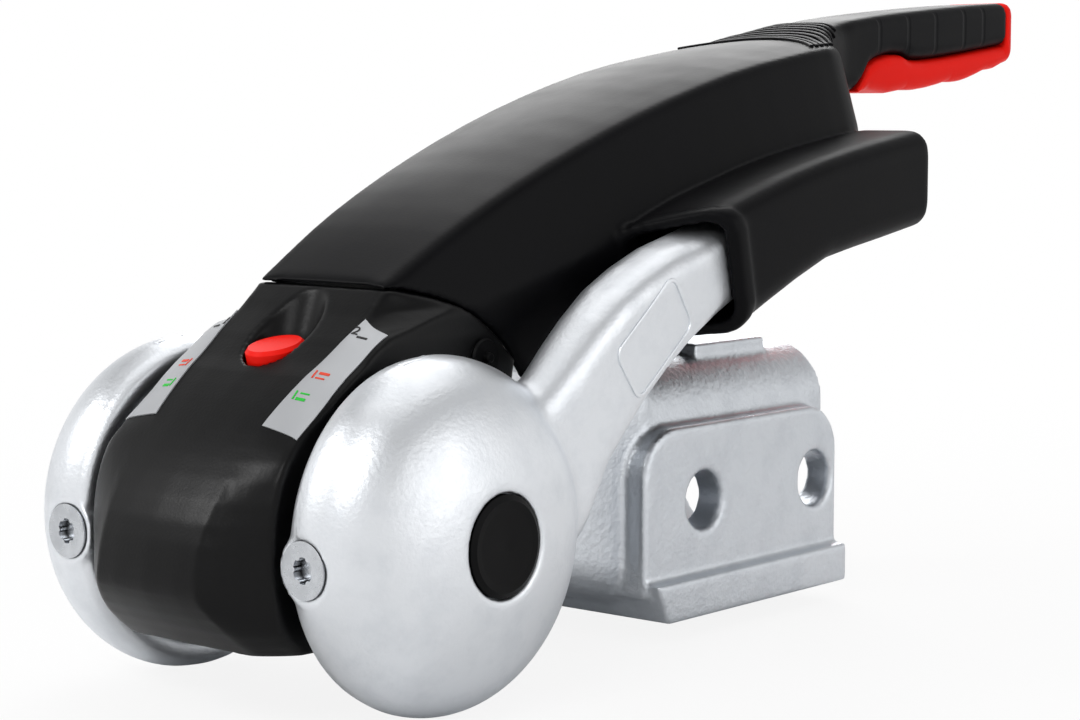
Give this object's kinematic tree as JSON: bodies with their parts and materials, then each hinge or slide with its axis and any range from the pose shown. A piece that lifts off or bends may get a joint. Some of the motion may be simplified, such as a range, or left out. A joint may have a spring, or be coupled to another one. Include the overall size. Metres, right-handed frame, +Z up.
{
  "type": "trailer coupling head",
  "caption": "Ball coupling head with a friction stabiliser: cast housing with a drawbar socket, domed lever arms, a black lever moulding with a red grip, and a release handle under it.",
  "frame": {"origin": "centre of the seated towing ball, on the axis that the stabiliser lever turns on", "axes": "+X back along the drawbar, +Y to the right of travel, +Z up"},
  "size_m": [0.3753, 0.1322, 0.1797],
  "materials": {
    "cast_housing": "rough cast, silver dip coat",
    "cast_lever": "cast, bright satin, fine pebble texture",
    "nose_rubber": "smooth matt",
    "scale_foil": "silver grey film",
    "friction_lining": "sintered lining",
    "plug_plastic": "fine grained",
    "lever_plastic": "fine grained moulding",
    "red_plastic": "satin moulding",
    "spring_steel": "drawn wire",
    "plain_steel": "machined",
    "zinc_steel": "zinc plated"
  },
  "bodies": {
    "coupling": {"housing_cup": "cast_housing", "housing_socket": "cast_housing", "nose_cover": "nose_rubber", "wear_scale_left": "scale_foil", "wear_scale_right": "scale_foil", "front_friction_pad": "friction_lining", "handle_pivot_pin": "zinc_steel", "pivot_clip_left": "plug_plastic", "pivot_clip_right": "plug_plastic", "hub_ring_left": "plain_steel", "hub_ring_right": "plain_steel", "jaw_spring": "spring_steel", "indicator_spring": "spring_steel"},
    "left_pad": {"side_pad_left": "friction_lining", "pad_piston_left": "plain_steel"},
    "right_pad": {"side_pad_right": "friction_lining", "pad_piston_right": "plain_steel"},
    "jaw": {"ball_jaw": "plain_steel", "rear_friction_pad": "friction_lining"},
    "release_lever": {"release_handle": "lever_plastic", "handle_core": "plain_steel", "handle_rivets": "zinc_steel"},
    "indicator": {"indicator_button": "red_plastic", "indicator_stem": "zinc_steel"},
    "stabiliser": {"arm_left": "cast_lever", "arm_right": "cast_lever", "plug_left": "plug_plastic", "plug_right": "plug_plastic", "dome_screw_left": "zinc_steel", "dome_screw_right": "zinc_steel", "cam_disc_left": "plain_steel", "cam_disc_right": "plain_steel", "handle_shell": "lever_plastic", "shell_screws_left": "zinc_steel", "shell_screws_right": "zinc_steel", "grip_insert": "red_plastic"}
  },
  "joints": [
    {"name": "stabiliser_lift", "type": "hinge", "parent": "coupling", "child": "stabiliser", "pos_m": [0, 0, 0], "axis": [0, -1, 0], "range_deg": [0, 60]},
    {"name": "release_lift", "type": "hinge", "parent": "coupling", "child": "release_lever", "pos_m": [0.031, 0, 0.0395], "axis": [0, -1, 0], "range_deg": [0, 30]},
    {"name": "jaw_slide", "type": "slide", "parent": "coupling", "child": "jaw", "axis": [1, 0, 0], "range_m": [0, 0.0055], "deforming": ["jaw_spring"]},
    {"name": "left_pad_slide", "type": "slide", "parent": "coupling", "child": "left_pad", "axis": [0, -1, 0], "range_m": [0, 0.0012]},
    {"name": "right_pad_slide", "type": "slide", "parent": "coupling", "child": "right_pad", "axis": [0, 1, 0], "range_m": [0, 0.0012]},
    {"name": "indicator_slide", "type": "slide", "parent": "coupling", "child": "indicator", "axis": [-0.2351, 0, 0.972], "range_m": [0, 0.004], "stiffness_N_per_m": 400, "deforming": ["indicator_spring"]}
  ],
  "couplings": [
    {"joint": "release_lift", "follows": "stabiliser_lift", "ratio": 0.5},
    {"joint": "jaw_slide", "follows": "stabiliser_lift", "m_per_rad": 0.00525},
    {"joint": "left_pad_slide", "follows": "stabiliser_lift", "m_per_rad": 0.001145},
    {"joint": "right_pad_slide", "follows": "stabiliser_lift", "m_per_rad": 0.001145}
  ]
}
